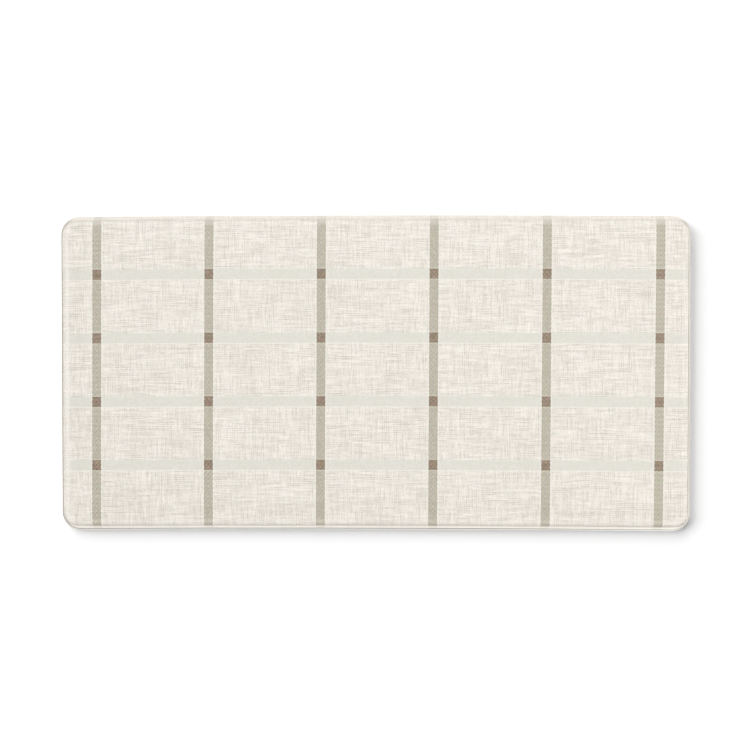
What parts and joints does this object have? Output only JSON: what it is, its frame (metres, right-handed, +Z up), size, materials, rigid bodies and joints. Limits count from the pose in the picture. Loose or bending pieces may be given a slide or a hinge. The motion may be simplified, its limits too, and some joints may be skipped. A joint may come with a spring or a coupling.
{
  "type": "anti-fatigue mat",
  "caption": "Cushioned anti-fatigue floor mat: plaid-printed vinyl top with a rounded shoulder and a flat welded rim over a foam filling, on a non-slip base sheet.",
  "frame": {"origin": "centre of the mat's underside, on the floor", "axes": "+X along the long side, +Y across the mat, +Z up from the floor"},
  "size_m": [1.016, 0.508, 0.015],
  "materials": {
    "printed_vinyl": "satin embossed vinyl, cream linen print with a greige and brown plaid",
    "knit_cloth": "fine white knit",
    "soft_foam": "open-cell foam, cream",
    "firm_foam": "fine-cell foam, dark grey",
    "grip_vinyl": "matt non-slip vinyl, off-white"
  },
  "bodies": {
    "root": {"printed_cover": "printed_vinyl", "backing_cloth": "knit_cloth", "comfort_foam": "soft_foam", "support_foam": "firm_foam", "base_sheet": "grip_vinyl"}
  },
  "joints": []
}
